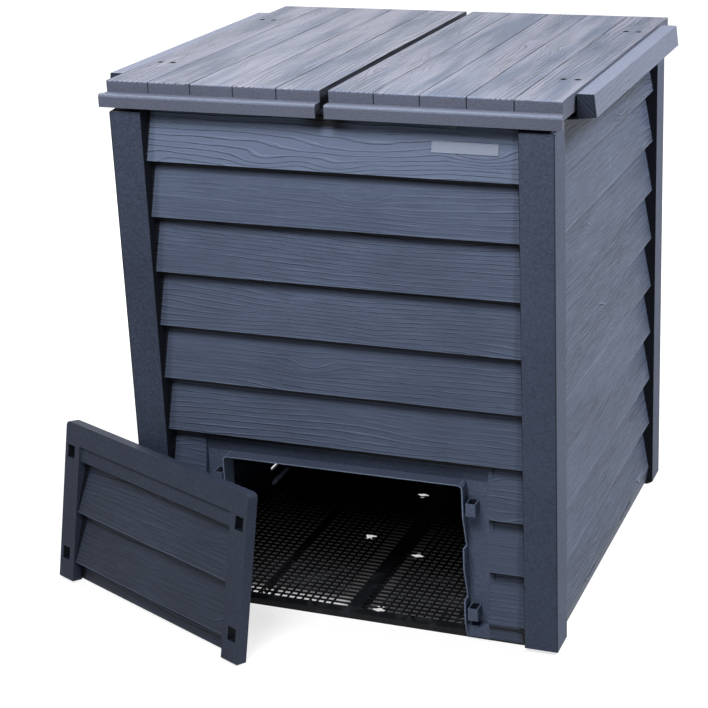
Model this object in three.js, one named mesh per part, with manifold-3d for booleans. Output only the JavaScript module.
// A square garden compost bin: four corner posts, louvred walls, a meshed base in two halves,
// a lid in two halves hinged along its outer sides, and a lift-out door that stands beside it.
// Millimetres, +Z up. The front faces -Y, and z = 0 is the ground under the middle of the base.
import * as THREE from 'three';
import { mergeVertices } from 'three/addons/utils/BufferGeometryUtils.js';
import Module from 'manifold-3d';

const wasm = await Module();
wasm.setup();

// Fits
const fit = 0.3; // gap between two pieces that touch
const weld = 0.6; // how far a joined feature runs into its neighbour
const reach = 12; // how far a cutter runs past the surface that it cuts
const skin = 3; // wall thickness of the mouldings

// Body
const bodyWidth = 770; // over the posts, left to right
const bodyDepth = 770; // over the posts, front to back
const wallTop = 905;
const wallFoot = 5.3; // lower edge of the walls' bottom rail
const postRise = 1; // the posts stand above the walls
const postTop = wallTop + postRise;

// Louvred slats, as depths behind the posts' outer faces
const slatCount = 9;
const lowestTip = 38.5; // height of the lowest slat's lower edge
const topSlatCutShare = 0.095; // part of the top slat that the wall's top edge cuts away
const tipDepth = 8; // lower edge of a slat
const recessDepth = 26; // upper edge of a slat
const railDepth = 14; // foot of the bottom rail, which slopes in from the lowest slat
const undersideRise = 3; // a slat's underside climbs this much on its way in
const slatMitre = 3.7; // shift of the slats' inner faces, in and up
const ribDepth = 38; // back of the stiffening ribs
const slatPitch = (wallTop - lowestTip) / (slatCount - topSlatCutShare);

// Corner posts
const flangeWidth = 58; // each visible face
const returnDepth = 31.7; // end returns that the walls butt against
const innerLap = 8; // arms of the inner angle behind the tongue's groove, past the faces
const topChamferWide = 9;
const topChamferHigh = 6;
const footChamferWide = 11;
const footChamferHigh = 6;

// Walls
const wallBays = 5; // ribs stand between the bays
const tongueGap = 2; // between a tongue's end and the post's inner angle
const tongueDrop = 6; // the tongues stop short of the wall's top
const tongueTop = wallTop - tongueDrop;
const innerReach = flangeWidth + innerLap;
const tongueReach = flangeWidth - ribDepth - skin - tongueGap;
const ventLong = 82;
const ventHigh = 6;
const ventLow = 27;

// Base
const baseEdgeDepth = 18; // base edge behind the posts' outer faces
const baseThick = 12;
const netThick = 2.4;
const borderWide = 8;
const stripHalf = 8; // joining strip between the halves
const stripFlange = 8; // its feet under each half
const stripFoot = 3; // their thickness
const seamBand = 4; // solid edge of each half beside the strip
const slotRowPitch = 13.4;
const slotRowGap = 9.4;
const slotColumns = 2;
const slotBridge = 5;
const drainRadius = 8;
const drainAlong = [45, 40, 75]; // the drain holes' places from the middle, left to right
const drainAcross = [-341, -127, 76]; // and from the middle, front to back
const pegWide = 20;
const pegThick = 5;
const pegHigh = 13;
const pegAlongRight = 112;
const pegAlongLeft = 76;
const seatHeight = baseThick + fit; // what stands on the base's border

// Loose door, in its own frame: foot of its back at the origin, face towards -Y
const doorHigh = 301;
const doorThick = 21;
const doorSkin = 2.8;
const stileWide = 41.5;
const headHigh = 40;
const doorCorner = 9;
const fasciaHigh = 28; // flat strip under the door's top rail
const fasciaSink = 4; // behind the face
const doorTipSink = 2.5;
const doorBackRoom = 0.7; // upper edges of its slats, ahead of its back
const doorFirstTip = 38;
const doorSlats = 2;
const panelFoot = 5;
const doorSlotWide = 20;
const doorSlotHigh = 24.5;
const doorSlotEdge = 18; // slot centres from the door's side edges
const doorSlotLow = 49.5;
const doorSlotUpper = 246;
const socketSkin = 2.2;
const doorYaw = THREE.MathUtils.degToRad(-23.45);
const doorLean = THREE.MathUtils.degToRad(9.7);
const doorInset = 41; // middle of its foot, inside the body's left face

// Door opening in the front wall
const openRows = 3; // slat rows that the door zone interrupts
const stubLong = 66.1; // slat stubs beside the recessed frame
const zoneHead = 16; // frame above the hung door
const doorHang = 2; // foot of the hung door
const doorSide = 9.1; // frame shown each side of the hung door
const collarInset = 30.2; // collar behind the hung door's side edges
const collarDrop = 9; // and below its top edge
const bandWide = 8; // border band round the recessed frame
const bandDepth = 20;
const collarSkin = 2.5;
const collarRadius = 9;
const collarFront = 1; // depth of the collar's front edge at the top
const collarNose = 3; // depth of the side edges' straight lengths
const collarBack = 20; // depth at the foot of each sloping length
const collarSlope = 58; // height of each sloping length
const sillTop = 27;
const sillDepth = 13;
const zoneHalf = bodyWidth / 2 - flangeWidth - stubLong;
const zoneTop = doorHang + doorHigh + zoneHead;
const doorHalf = zoneHalf - doorSide;
const collarHalf = doorHalf - collarInset;
const collarTop = doorHang + doorHigh - collarDrop;

// Hook lugs beside the collar, for the door's slots
const lugPlay = 0.9; // above and below a lug in its slot
const lugWide = 17.5;
const lugSkin = 2.2;
const lugFront = 4;
const lugAlong = doorHalf - doorSlotEdge;
const lugHigh = doorSlotHigh - 2 * lugPlay;

// Lid halves, built up from the tops of the posts
const lipLift = 3; // lip above the posts
const lipHigh = 22;
const riserHigh = 19;
const skirtLift = 10; // side skirts' lower edge above the lip's
const lidSideOut = 9; // lid's side beyond the posts
const lipSideOut = 5; // lip's ends beyond the lid's side
const lipOut = 8; // lip beyond the posts' faces
const riserIn = 14.5; // raised part behind the posts' faces
const lidGap = 14; // between the halves
const lipEndLong = 12;
const lipRadius = 4;
const riserRadius = 3;
const plankCount = 5;
const grooveWide = 2.6;
const grooveDeep = 1.4;
const lidRib = 2.6;
const lidRibDeep = 20;
const crossRibShares = [-0.75, -0.375, 0, 0.375, 0.75]; // of the raised part's half depth
const restShort = 5; // rest ribs stop short of the posts
const catchAlong = 214;
const catchWide = 17;
const catchDrop = 12; // below the lip
const catchThick = 3.5;
const catchIn = 2; // back face behind the raised part's face
const lipFoot = postTop + lipLift;
const lipTop = lipFoot + lipHigh;
const lidTop = lipTop + riserHigh;
const lidSkirtFoot = lipFoot + skirtLift;
const lidInner = lidGap / 2;
const lidOuter = bodyWidth / 2 + lidSideOut;
const lipOuter = lidOuter + lipSideOut;
const lipHalf = bodyDepth / 2 + lipOut;
const riserHalf = bodyDepth / 2 - riserIn;

// Hinge rails
const railInset = 84; // rail's ends inside the posts' faces
const railDrop = 3; // rail's top below the lid's
const railSkin = 2.8;
const railWide = 27.5;
const railFlare = 4.3; // outer face leans out by this
const railTip = 5.7; // outer face's lower edge above the wall's top
const hingeIn = 15; // hinge axis from the rail's inner edge
const hingeInset = 89; // each hinge from the rail's end
const swingGap = 0.74; // between the rail and the lid's side as it swings
const barrelLong = 24;
const barrelRadius = 6;
const barrelRoom = 0.7; // between a barrel and the rail's top
const barrelGap = 1; // between a barrel and the ribs beside it
const pinRadius = 3;
const pinHeadRadius = 4.6;
const pinHeadThick = 1.6;
const ribThick = 4;
const ribIn = 4.5; // ribs inside the rail's inner edge
const railFoot = wallTop + fit;
const railLong = bodyDepth - 2 * railInset;
const hingeAlong = railLong / 2 - hingeInset;
const railTop = lidTop - railDrop;
const hingeDrop = railSkin + barrelRoom + barrelRadius;
const hingeZ = railTop - hingeDrop;
const railGap = Math.hypot(hingeIn, hingeDrop) - hingeIn + swingGap;
const railInner = lidOuter + railGap;
const railOuter = railInner + railWide;
const hingeX = railInner + hingeIn;

// Hinge brackets and their screws
const plateThick = 3;
const plateMargin = 15; // plate beyond the inner screws
const bossHigh = 3; // screw bosses below the lid's top
const webGap = 3; // web inside the lid's side
const armGap = 3.5; // arm below the lid's skirt
const bossRadius = 8;
const screwIn = 10; // outer screws inside the posts' faces
const screwPitch = 24;
const screwHoleRadius = 4.6;
const screwSink = 4.4; // seat of the screw's head below the lid's top
const screwHeadRadius = 4.2;
const screwHeadThick = 2.2;
const screwShank = 2;
const screwLong = 7.6;
const plateTop = lidTop - skin - bossHigh - fit;
const webOuter = lidOuter - skin - webGap;
const armFoot = lidSkirtFoot - armGap - plateThick;
const screwOuter = bodyWidth / 2 - screwIn;
const screwInner = screwOuter - screwPitch;
const screwSeat = lidTop - screwSink;

const roundSides = 16;
const screwSides = 12;
const cornerSteps = 4;

const plastic = { color: 0x4a5268, roughness: 0.62, metalness: 0 };
const blackPlastic = { color: 0x15161a, roughness: 0.55, metalness: 0 };
const steel = { color: 0x33353a, roughness: 0.4, metalness: 0.9 };

// Closed mesh to solid and back
function toSolid(geometry) {
  const bare = geometry.clone();
  bare.deleteAttribute('normal');
  bare.deleteAttribute('uv');
  const merged = mergeVertices(bare);
  return new wasm.Manifold(new wasm.Mesh({
    numProp: 3,
    vertProperties: new Float32Array(merged.attributes.position.array),
    triVerts: new Uint32Array(merged.index.array),
  }));
}

function toGeometry(solid) {
  const mesh = solid.getMesh();
  const geometry = new THREE.BufferGeometry();
  geometry.setAttribute('position', new THREE.BufferAttribute(mesh.vertProperties, 3));
  geometry.setIndex(new THREE.BufferAttribute(mesh.triVerts, 1));
  geometry.computeVertexNormals();
  return geometry;
}

const join = (solids) => solids.reduce((whole, piece) => whole.add(piece));
const cut = (solid, tools) => tools.reduce((whole, tool) => whole.subtract(tool), solid);

// Prisms of a closed outline
function extrude(outline, from, to, basis) {
  const shape = new THREE.Shape(outline.map(([a, b]) => new THREE.Vector2(a, b)));
  const geometry = new THREE.ExtrudeGeometry(shape, { depth: to - from, bevelEnabled: false });
  geometry.translate(0, 0, from);
  geometry.applyMatrix4(basis);
  return toSolid(geometry);
}

const unitX = new THREE.Vector3(1, 0, 0);
const unitY = new THREE.Vector3(0, 1, 0);
const unitZ = new THREE.Vector3(0, 0, 1);
const basisX = new THREE.Matrix4().makeBasis(unitY, unitZ, unitX);
const basisY = new THREE.Matrix4().makeBasis(unitX, unitZ, unitY.clone().negate());
const basisZ = new THREE.Matrix4();

const alongX = (outline, from, to) => extrude(outline, from, to, basisX); // outline in Y, Z
const alongY = (outline, from, to) => extrude(outline, -to, -from, basisY); // outline in X, Z
const alongZ = (outline, from, to) => extrude(outline, from, to, basisZ); // outline in X, Y

// Box given by its faces, in any order
function box(xs, ys, zs) {
  const low = new THREE.Vector3(Math.min(...xs), Math.min(...ys), Math.min(...zs));
  const high = new THREE.Vector3(Math.max(...xs), Math.max(...ys), Math.max(...zs));
  const size = high.clone().sub(low);
  const middle = low.clone().add(high).multiplyScalar(0.5);
  const geometry = new THREE.BoxGeometry(size.x, size.y, size.z);
  geometry.translate(middle.x, middle.y, middle.z);
  return toSolid(geometry);
}

const about = (middle, half) => [middle - half, middle + half];
const wide = (half) => [-half, half];
const beyond = ([low, high], over) => [Math.min(low, high) - over, Math.max(low, high) + over];

// Cylinders along Y and Z
function rodY(radius, x, z, [from, to]) {
  const geometry = new THREE.CylinderGeometry(radius, radius, to - from, roundSides);
  geometry.translate(x, (from + to) / 2, z);
  return toSolid(geometry);
}

function rodZ(radius, x, y, [from, to]) {
  const geometry = new THREE.CylinderGeometry(radius, radius, to - from, roundSides);
  geometry.rotateX(Math.PI / 2);
  geometry.translate(x, y, (from + to) / 2);
  return toSolid(geometry);
}

// Quarter circle about a centre, its start counted in quarter turns
function quarter(a, b, radius, turns) {
  return Array.from({ length: cornerSteps + 1 }, (_, i) => {
    const angle = (turns + i / cornerSteps) * Math.PI / 2;
    return [a + radius * Math.cos(angle), b + radius * Math.sin(angle)];
  });
}

// Upright outline with its two top corners rounded, inset all round but at the foot
function archOutline(half, top, radius, inset, foot) {
  const side = half - radius;
  const shoulder = top - radius;
  return [
    [half - inset, foot], ...quarter(side, shoulder, radius - inset, 0),
    ...quarter(-side, shoulder, radius - inset, 1), [inset - half, foot],
  ];
}

const root = new THREE.Group();

function place(name, geometry, finish, parent = root) {
  const mesh = new THREE.Mesh(geometry, new THREE.MeshStandardMaterial(finish));
  mesh.name = name;
  parent.add(mesh);
  return mesh;
}

// Corner post: outer angle with returns, a diagonal web, an inner angle and a closed top.
// Its outer corner is at the origin and its faces run along +X and +Y.
function postSolid() {
  const inner = ribDepth + fit;
  const innerBack = inner + skin;
  const inside = flangeWidth - skin;
  const outerAngle = [
    [flangeWidth, 0], [flangeWidth, returnDepth], [inside, returnDepth], [inside, skin], [skin, skin],
    [skin, inside], [returnDepth, inside], [returnDepth, flangeWidth], [0, flangeWidth], [0, 0],
  ];
  const innerAngle = [
    [inner, inner], [innerReach, inner], [innerReach, innerBack],
    [innerBack, innerBack], [innerBack, innerReach], [inner, innerReach],
  ];
  const web = [
    [weld, weld + skin], [weld + skin, weld], [inner + skin, inner + weld], [inner + weld, inner + skin],
  ];
  const cap = [
    [0, 0], [flangeWidth, 0], [flangeWidth, returnDepth], [innerBack, returnDepth],
    [innerBack, innerBack], [returnDepth, innerBack], [returnDepth, flangeWidth], [0, flangeWidth],
  ];
  const whole = join([
    alongZ(outerAngle, 0, postTop),
    alongZ(innerAngle, 0, tongueTop + weld),
    alongZ(web, 0, postTop - weld),
    alongZ(cap, postTop - skin, postTop),
  ]);
  const topCut = [
    [-reach, postTop - topChamferHigh], [0, postTop - topChamferHigh], [topChamferWide, postTop],
    [topChamferWide, postTop + reach], [-reach, postTop + reach],
  ];
  const footCut = [
    [-reach, -reach], [footChamferWide, -reach], [footChamferWide, 0],
    [0, footChamferHigh], [-reach, footChamferHigh],
  ];
  const span = [-reach, flangeWidth + reach];
  return cut(whole, [
    alongY(topCut, ...span), alongX(topCut, ...span), alongY(footCut, ...span), alongX(footCut, ...span),
  ]);
}

// Louvre line as [depth, height], from the bottom rail to the wall's top edge
const slatTips = Array.from({ length: slatCount }, (_, k) => lowestTip + k * slatPitch);
const topDepth = recessDepth - (recessDepth - tipDepth) * topSlatCutShare;
const rimMiddle = (topDepth + ribDepth) / 2;

function louvreLine(shift, foot) {
  const inFoot = recessDepth + shift;
  const line = [[railDepth + shift, foot]];
  slatTips.forEach((height, k) => {
    if (k > 0) line.push([inFoot, height + undersideRise + shift]);
    line.push([tipDepth + shift, height + shift]);
  });
  line.push([topDepth + shift, wallTop]);
  return line;
}

// From half-way through the louvres' skin to a flat back, for ribs and end plates
const ribOutline = () => [
  ...louvreLine(slatMitre / 2, seatHeight), [ribDepth, wallTop], [ribDepth, seatHeight],
];

// Wall in its own frame: length along X, outer plane of the posts at y = 0, depth along +Y
function wallSolid(length) {
  const half = length / 2;
  const bay = length / wallBays;
  const section = [...louvreLine(0, wallFoot), ...louvreLine(slatMitre, wallFoot).reverse()];
  const shell = alongX(section, -half, half);
  const ribs = Array.from({ length: wallBays - 1 }, (_, i) => {
    const place = (i + 1) * bay - half;
    return alongX(ribOutline(), ...about(place, skin / 2));
  });
  const ends = [-half, half - skin].map((from) => alongX(ribOutline(), from, from + skin));
  const rim = box(wide(half), [topDepth + skin / 2, ribDepth], [wallTop - skin, wallTop]);
  const ledge = box(wide(half), [railDepth + skin / 2, ribDepth], [seatHeight, seatHeight + skin]);
  const tongues = [-1, 1].map((side) => box(
    [side * (half - weld), side * (half + tongueReach)],
    [returnDepth + fit, ribDepth],
    [seatHeight, tongueTop],
  ));
  return join([shell, ...ribs, ...ends, rim, ledge, ...tongues]);
}

// Plain wall, with an air slit through the bottom rail in every other bay
function plainWallSolid(length) {
  const bay = length / wallBays;
  const vents = Array.from({ length: Math.floor(wallBays / 2) }, (_, i) => box(
    about((2 * i + 3 / 2) * bay - length / 2, ventLong / 2),
    [-reach, railDepth + skin + reach],
    [ventLow, ventLow + ventHigh],
  ));
  return cut(wallSolid(length), vents);
}

// Doorway collar: an upturned U of thin wall whose side edges follow a saw-tooth
function collarSolid() {
  const outline = (inset, foot) => archOutline(collarHalf, collarTop, collarRadius, inset, foot);
  const outer = alongY(outline(0, wallFoot), collarFront, ribDepth);
  const hollow = alongY(outline(collarSkin, wallFoot - reach), collarFront - reach, ribDepth + reach);
  const tips = slatTips.slice(0, openRows).reverse();
  const edge = [[collarFront, collarTop + reach], [collarFront, collarTop - collarRadius]];
  tips.forEach((height, k) => {
    const low = Math.max(height - collarSlope, wallFoot - reach);
    const back = collarNose + (collarBack - collarNose) * (height - low) / collarSlope;
    edge.push([collarNose, height], [back, low]);
    if (k < tips.length - 1) edge.push([collarNose, low]);
  });
  const front = [...edge, [collarFront - reach, wallFoot - reach], [collarFront - reach, collarTop + reach]];
  return cut(outer, [hollow, alongX(front, ...wide(collarHalf + reach))]);
}

// Hollow hook lug, open at the top
function lugSolid(middle, top) {
  const half = lugWide / 2;
  const foot = top - lugHigh;
  const whole = box(about(middle, half), [lugFront, recessDepth + weld], [foot, top]);
  const hollow = box(
    about(middle, half - lugSkin), [lugFront + lugSkin, recessDepth], [foot + lugSkin, top + reach],
  );
  return cut(whole, [hollow]);
}

// Recessed frame, collar and lugs of the doorway, and the slat stubs' end plates
function doorwaySolid() {
  const hole = alongY(
    archOutline(collarHalf, collarTop, collarRadius, collarSkin / 2, wallFoot - reach),
    -reach,
    ribDepth + reach,
  );
  const panel = box(
    wide(zoneHalf + weld), [recessDepth, recessDepth + skin], [seatHeight, zoneTop + weld],
  );
  const header = box(
    wide(zoneHalf + bandWide), [bandDepth, ribDepth], [zoneTop, zoneTop + bandWide],
  );
  const sides = [-1, 1].flatMap((side) => {
    const plateSpan = [side * (zoneHalf - weld), side * (zoneHalf + skin)];
    const over = box(beyond(plateSpan, reach), [-reach, ribDepth + reach], [zoneTop, wallTop + reach]);
    const plate = cut(alongX(ribOutline(), Math.min(...plateSpan), Math.max(...plateSpan)), [over]);
    const sillSpan = [side * (collarHalf - weld), side * (zoneHalf + skin)];
    return [
      plate,
      box(
        [side * zoneHalf, side * (zoneHalf + bandWide)],
        [bandDepth, recessDepth + skin],
        [lowestTip, zoneTop + bandWide],
      ),
      box(sillSpan, [sillDepth, sillDepth + skin], [wallFoot, sillTop]),
      box(sillSpan, [sillDepth, recessDepth + weld], [sillTop - skin, sillTop]),
    ];
  });
  const lugTops = [doorSlotLow, doorSlotUpper].map((height) => doorHang + height + lugHigh / 2);
  const lugs = [-1, 1].flatMap((side) => lugTops.map((top) => lugSolid(side * lugAlong, top)));
  return join([cut(join([panel, header, ...sides]), [hole]), collarSolid(), ...lugs]);
}

function frontWallSolid(length) {
  const span = wide(length);
  const zone = box(wide(zoneHalf), [-reach, ribDepth + reach], [wallFoot - reach, zoneTop]);
  const overBase = box(span, [baseEdgeDepth - fit, ribDepth + reach], [wallFoot - reach, seatHeight]);
  return cut(cut(wallSolid(length), [zone]).add(doorwaySolid()), [overBase]);
}

// Hinge rail of the right side: a channel open towards the lid, whose floor lies on the wall,
// with closed ends and a pair of drilled ribs at each hinge
function railSolid() {
  const sideFace = bodyWidth / 2;
  const tip = [railOuter + railFlare, wallTop + railTip];
  const channel = alongY([
    [railInner, railTop - railSkin], [railOuter - railSkin, railTop - railSkin],
    [tip[0] - railSkin, tip[1] + railSkin], [sideFace, railFoot + railSkin],
    [sideFace - ribDepth, railFoot + railSkin], [sideFace - ribDepth, railFoot], [sideFace, railFoot],
    tip, [railOuter, railTop], [railInner, railTop],
  ], ...wide(railLong / 2));
  const inset = railSkin / 2;
  const web = (inner) => [
    [inner, railFoot + railTip * (inner - sideFace) / (tip[0] - sideFace) + inset],
    [tip[0] - inset, tip[1] + inset], [railOuter - inset, railTop - inset], [inner, railTop - inset],
  ];
  const near = barrelLong / 2 + barrelGap;
  const hinges = [-1, 1].map((end) => end * hingeAlong);
  const ribs = hinges.flatMap((y) => [y - near - ribThick, y + near].map(
    (from) => alongY(web(railInner + ribIn), from, from + ribThick),
  ));
  const ends = [railSkin - railLong / 2, railLong / 2].map(
    (face) => alongY(web(railInner), face - railSkin, face),
  );
  const bores = hinges.map((y) => rodY(pinRadius + fit, hingeX, hingeZ, about(y, near + ribThick + reach)));
  return cut(join([channel, ...ribs, ...ends]), bores);
}

// Section of a lid half across its front and rear: raised part, ledge and lip
function lidOutline(inset, foot) {
  const top = lidTop - inset;
  const riser = riserHalf - inset;
  const lip = lipHalf - inset;
  const shelf = lipTop - inset;
  const front = [
    [lip, foot], ...quarter(lip - lipRadius, shelf - lipRadius, lipRadius, 0), [riser, shelf],
    ...quarter(riser - riserRadius, top - riserRadius, riserRadius, 0),
  ];
  return [...front, ...front.map(([y, z]) => [-y, z]).reverse()];
}

const screwSpots = [-1, 1].flatMap((end) => [screwInner, screwOuter].map((x) => [x, end * hingeAlong]));
const plankWide = (lidOuter - lidInner) / plankCount;

// Ribs, rests and screw bosses under the lid, and its catch
function lidUnderside() {
  const underTop = lidTop - skin;
  const ribHeights = [underTop - lidRibDeep, underTop + weld];
  const cross = crossRibShares.map((share) => box(
    [lidInner + weld, lidOuter - weld], about(share * riserHalf, lidRib / 2), ribHeights,
  ));
  const long = Array.from({ length: plankCount - 2 }, (_, i) => box(
    about(lidInner + (i + 3 / 2) * plankWide, lidRib / 2), wide(riserHalf - weld), ribHeights,
  ));
  const rests = [-1, 1].map((end) => box(
    [lidInner + weld, bodyWidth / 2 - flangeWidth - restShort],
    about(end * (bodyDepth / 2 - rimMiddle), lidRib / 2),
    [wallTop + fit, underTop + weld],
  ));
  const catchFace = catchIn - riserHalf;
  const tab = box(
    about(catchAlong, catchWide / 2), [catchFace, catchFace - catchThick], [lipFoot - catchDrop, lipTop - weld],
  );
  const bosses = screwSpots.map(([x, y]) => rodZ(bossRadius, x, y, [plateTop + fit, underTop + weld]));
  return [...cross, ...long, ...rests, tab, ...bosses];
}

// V-grooves between planks, over the top and down the raised part's ends
function plankGrooves() {
  return Array.from({ length: plankCount - 1 }, (_, i) => {
    const x = lidInner + (i + 1) * plankWide;
    const half = grooveWide / 2;
    const over = riserHalf + reach;
    const top = alongY([
      [x, lidTop - grooveDeep], [x + half, lidTop], [x + half, lidTop + reach],
      [x - half, lidTop + reach], [x - half, lidTop],
    ], ...wide(over));
    const ends = [-1, 1].map((end) => alongZ([
      [x - half, -riserHalf], [x - half, -over], [x + half, -over], [x + half, -riserHalf],
      [x, grooveDeep - riserHalf],
    ].map(([a, b]) => [a, end * b]), lipTop, lidTop + weld));
    return join([top, ...ends]);
  });
}

// Right half of the lid: a planked shell with a wider lip at the front and rear
function lidSolid() {
  const outer = alongX(lidOutline(0, lipFoot), lidInner, lidOuter);
  const outline = alongX(lidOutline(0, lipFoot), lidInner, lipOuter);
  const lips = [-1, 1].map((end) => box(
    [lidOuter - weld, lipOuter], [end * (lipHalf - lipEndLong), end * lipHalf], [lipFoot, lipTop],
  ).intersect(outline));
  const hollow = alongX(lidOutline(skin, lipFoot - reach), lidInner + skin, lidOuter - skin);
  const skirtCut = box(
    [lidInner - reach, lipOuter + reach], wide(lipHalf - lipEndLong), [lipFoot - reach, lidSkirtFoot],
  );
  const shell = cut(join([outer, ...lips]), [hollow, skirtCut]);
  const holes = screwSpots.flatMap(([x, y]) => [
    rodZ(screwHoleRadius, x, y, [screwSeat, lidTop + reach]),
    rodZ(screwShank + fit, x, y, [plateTop - reach, screwSeat + weld]),
  ]);
  return cut(join([shell, ...lidUnderside()]), [...plankGrooves(), ...holes]);
}

// Cranked hinge bracket: screwed plate, web down inside the skirt, arm below it, neck and barrel
function bracketSolid(end) {
  const span = about(end * hingeAlong, barrelLong / 2);
  const neck = hingeX - plateThick / 2;
  const far = hingeX + plateThick / 2;
  const crank = alongY([
    [screwInner - plateMargin, plateTop - plateThick], [webOuter - plateThick, plateTop - plateThick],
    [webOuter - plateThick, armFoot], [far, armFoot], [far, hingeZ], [neck, hingeZ],
    [neck, armFoot + plateThick], [webOuter, armFoot + plateThick], [webOuter, plateTop],
    [screwInner - plateMargin, plateTop],
  ], ...span);
  const barrel = rodY(barrelRadius, hingeX, hingeZ, span);
  const bore = rodY(pinRadius + fit, hingeX, hingeZ, beyond(span, reach));
  const holes = [screwInner, screwOuter].map((x) => rodZ(
    screwShank + fit, x, end * hingeAlong, [plateTop - plateThick - reach, plateTop + reach],
  ));
  return cut(join([crank, barrel]), [bore, ...holes]);
}

// Turned pieces, with the head at the top of the profile
function lathe(profile, sides) {
  const points = profile.map(([r, z]) => new THREE.Vector2(r, z));
  return new THREE.LatheGeometry(points, sides).rotateX(Math.PI / 2);
}

const screwGeometry = () => lathe([
  [0, -screwLong], [screwShank / 2, -screwLong], [screwShank, screwShank - screwLong], [screwShank, 0],
  [screwHeadRadius, 0], [screwHeadRadius, screwHeadThick / 2],
  [screwHeadRadius - screwHeadThick / 2, screwHeadThick], [0, screwHeadThick],
], screwSides);

function pinGeometry() {
  const half = barrelLong / 2 + barrelGap + ribThick + fit;
  return lathe([
    [0, -half - pinHeadThick], [pinRadius, -half - pinHeadThick], [pinRadius, half],
    [pinHeadRadius, half], [pinHeadRadius, half + pinHeadThick], [0, half + pinHeadThick],
  ], roundSides);
}

// Half of the base, right of the joining strip: a netted plate on a border that stands on the
// ground, with a fin-shaped peg on its front or rear edge
const baseHalfX = bodyWidth / 2 - baseEdgeDepth;
const baseHalfY = bodyDepth / 2 - baseEdgeDepth;
const notchX = bodyWidth / 2 - innerReach - fit;
const notchY = bodyDepth / 2 - innerReach - fit;
const seamEdge = stripHalf + fit;

function basePlan(inset) {
  const seam = seamEdge + inset;
  const side = notchX - inset;
  const far = baseHalfX - inset;
  const end = baseHalfY - inset;
  const step = notchY - inset;
  return [
    [seam, -end], [side, -end], [side, -step], [far, -step], [far, step], [side, step], [side, end], [seam, end],
  ];
}

const slotFrom = seamEdge + seamBand;
const slotPitchIn = (edge) => (edge - borderWide - slotFrom + slotBridge) / slotColumns;

function baseSlots() {
  const rows = Math.floor((baseHalfY - borderWide) / slotRowPitch);
  return Array.from({ length: 2 * rows * slotColumns }, (_, i) => {
    const row = Math.floor(i / slotColumns) - rows;
    const middle = (row + 1 / 2) * slotRowPitch;
    const narrow = Math.abs(middle) + slotRowGap / 2 > notchY - borderWide;
    const pitch = slotPitchIn(narrow ? notchX : baseHalfX);
    const from = slotFrom + (i % slotColumns) * pitch;
    return box([from, from + pitch - slotBridge], about(middle, slotRowGap / 2), [-reach, baseThick + reach]);
  });
}

function baseSolid(pegAlong, pegEnd) {
  const underNet = baseThick - netThick;
  const pocket = alongZ(basePlan(borderWide), -reach, underNet);
  const keels = Array.from({ length: slotColumns - 1 }, (_, i) => box(
    about(slotFrom + (i + 1) * slotPitchIn(baseHalfX) - slotBridge / 2, skin / 2),
    wide(baseHalfY - weld),
    [0, underNet + weld],
  ));
  const rebate = box(
    [0, seamEdge + stripFlange], wide(baseHalfY + reach), [-reach, stripFoot + fit],
  );
  const plate = cut(join([cut(alongZ(basePlan(0), 0, baseThick), [pocket]), ...keels]), [rebate]);
  const drains = drainAlong.map((x, i) => rodZ(drainRadius, x, drainAcross[i], [-reach, baseThick + reach]));
  const foot = pegEnd * baseHalfY;
  const peg = alongX([
    [foot, baseThick - weld], [foot - pegEnd * pegWide, baseThick - weld], [foot, baseThick + pegHigh],
  ], ...about(pegAlong, pegThick / 2));
  return join([cut(plate, [...baseSlots(), ...drains]), peg]);
}

// Joining strip: an inverted T between the halves of the base, standing on the ground
function stripSolid() {
  const foot = stripHalf + stripFlange;
  const section = [
    [-foot, 0], [foot, 0], [foot, stripFoot], [stripHalf, stripFoot], [stripHalf, baseThick],
    [-stripHalf, baseThick], [-stripHalf, stripFoot], [-foot, stripFoot],
  ];
  return alongY(section, ...wide(baseHalfY));
}

// Door panel: hollow stiles and top rail, a fascia and two slats, and four socketed slots
const doorFace = -doorThick;
const doorRecess = doorThick - doorSkin - doorBackRoom;
const panelHalf = doorHalf - stileWide;
const headFoot = doorHigh - headHigh;
const fasciaFoot = headFoot - fasciaHigh;

function doorLine(shift) {
  const pitch = (fasciaFoot - doorFirstTip) / doorSlats;
  const recess = doorFace + doorRecess + shift;
  const line = [[recess, panelFoot]];
  for (let k = 0; k < doorSlats; k += 1) {
    const tip = doorFirstTip + k * pitch + shift;
    line.push([recess, tip + undersideRise], [doorFace + doorTipSink + shift, tip]);
  }
  const fascia = doorFace + fasciaSink + shift;
  return [...line, [recess, fasciaFoot + shift], [fascia, fasciaFoot + shift], [fascia, headFoot + doorSkin]];
}

function doorSolid() {
  const outline = (inset) => archOutline(doorHalf, doorHigh, doorCorner, inset, inset);
  const tray = cut(alongY(outline(0), doorFace, 0), [
    alongY(outline(doorSkin), doorFace + doorSkin, reach),
    box(wide(panelHalf), [doorFace - reach, reach], [-reach, headFoot]),
  ]);
  const cheeks = [-1, 1].map((side) => box(
    [side * panelHalf, side * (panelHalf + doorSkin)], [doorFace, 0], [0, headFoot + doorSkin],
  ));
  const lintel = box(wide(panelHalf + weld), [doorFace, 0], [headFoot, headFoot + doorSkin]);
  const panel = alongX([...doorLine(0), ...doorLine(doorSkin).reverse()], ...wide(panelHalf + weld));
  const spots = [-1, 1].flatMap((side) => [doorSlotLow, doorSlotUpper].map((height) => [side * lugAlong, height]));
  const slotBox = ([x, z], grow, depths) => box(
    about(x, doorSlotWide / 2 + grow), depths, about(z, doorSlotHigh / 2 + grow),
  );
  const sockets = spots.map((spot) => slotBox(spot, socketSkin, [doorFace + weld, -weld]));
  const slots = spots.map((spot) => slotBox(spot, 0, [doorFace - reach, reach]));
  return cut(join([tray, ...cheeks, lintel, panel, ...sockets]), slots);
}

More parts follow.
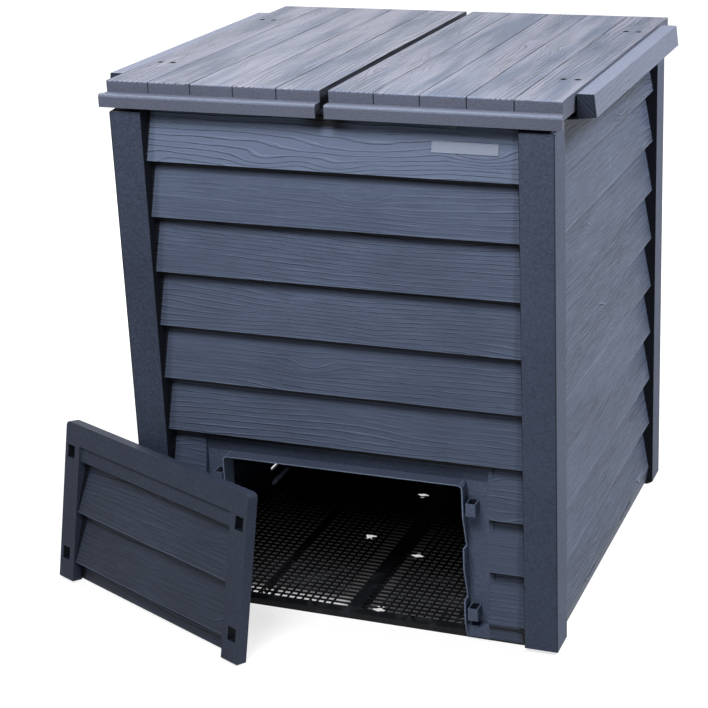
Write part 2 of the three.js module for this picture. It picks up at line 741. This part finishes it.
// Posts at the four corners, each a quarter turn from the last
const postNames = ['post_front_left', 'post_front_right', 'post_rear_right', 'post_rear_left'];
const corners = [[-1, -1], [1, -1], [1, 1], [-1, 1]];
const postGeometry = toGeometry(postSolid());
corners.forEach(([sideX, sideY], turn) => {
  const post = place(postNames[turn], postGeometry.clone(), plastic);
  post.position.set(sideX * bodyWidth / 2, sideY * bodyDepth / 2, 0);
  post.rotation.z = turn * Math.PI / 2;
});

// Walls between the posts
const betweenX = bodyWidth - 2 * (flangeWidth + fit);
const betweenY = bodyDepth - 2 * (flangeWidth + fit);
const walls = [
  ['wall_front', frontWallSolid(betweenX), 0, -bodyDepth / 2, 0],
  ['wall_right', plainWallSolid(betweenY), bodyWidth / 2, 0, 1],
  ['wall_rear', plainWallSolid(betweenX), 0, bodyDepth / 2, 2],
  ['wall_left', plainWallSolid(betweenY), -bodyWidth / 2, 0, 3],
];
walls.forEach(([name, solid, x, y, turn]) => {
  const wall = place(name, toGeometry(solid), plastic);
  wall.position.set(x, y, 0);
  wall.rotation.z = turn * Math.PI / 2;
});

// Base halves, the left one turned half round so that both pegs are at the front
place('base_right', toGeometry(baseSolid(pegAlongRight, -1)), blackPlastic);
place('base_left', toGeometry(baseSolid(pegAlongLeft, 1)), blackPlastic).rotation.z = Math.PI;
place('base_strip', toGeometry(stripSolid()), blackPlastic);

// Sides: rail, lid half, brackets, pins and screws, the left ones turned half round
[['right', 0], ['left', Math.PI]].forEach(([side, turn]) => {
  const group = new THREE.Group();
  group.rotation.z = turn;
  root.add(group);
  place(`rail_${side}`, toGeometry(railSolid()), plastic, group);
  place(`lid_${side}`, toGeometry(lidSolid()), plastic, group);
  [-1, 1].forEach((end, i) => {
    const mark = `${side}_${i + 1}`;
    place(`hinge_bracket_${mark}`, toGeometry(bracketSolid(end)), blackPlastic, group);
    const pin = place(`hinge_pin_${mark}`, pinGeometry(), steel, group);
    pin.position.set(hingeX, end * hingeAlong, hingeZ);
    pin.rotation.x = Math.PI / 2;
  });
  screwSpots.forEach(([x, y], i) => {
    const screw = place(`lid_screw_${side}_${i + 1}`, screwGeometry(), steel, group);
    screw.position.set(x, y, screwSeat + fit);
  });
});

// Door, leaning back so that its top edge touches the front left post's outer corner
const doorMiddleX = doorInset - bodyWidth / 2;
const leanBack = doorHigh * Math.sin(doorLean);
const touch = (Math.sin(doorYaw) * leanBack - doorInset) / Math.cos(doorYaw); // along the door, from its middle
const touchY = -bodyDepth / 2 - fit / Math.cos(doorYaw);
const doorStand = new THREE.Group();
doorStand.position.set(
  doorMiddleX,
  touchY - touch * Math.sin(doorYaw) - leanBack * Math.cos(doorYaw),
  0,
);
doorStand.rotation.z = doorYaw;
root.add(doorStand);
place('door_panel', toGeometry(doorSolid()), plastic, doorStand).rotation.x = -doorLean;

export default root;
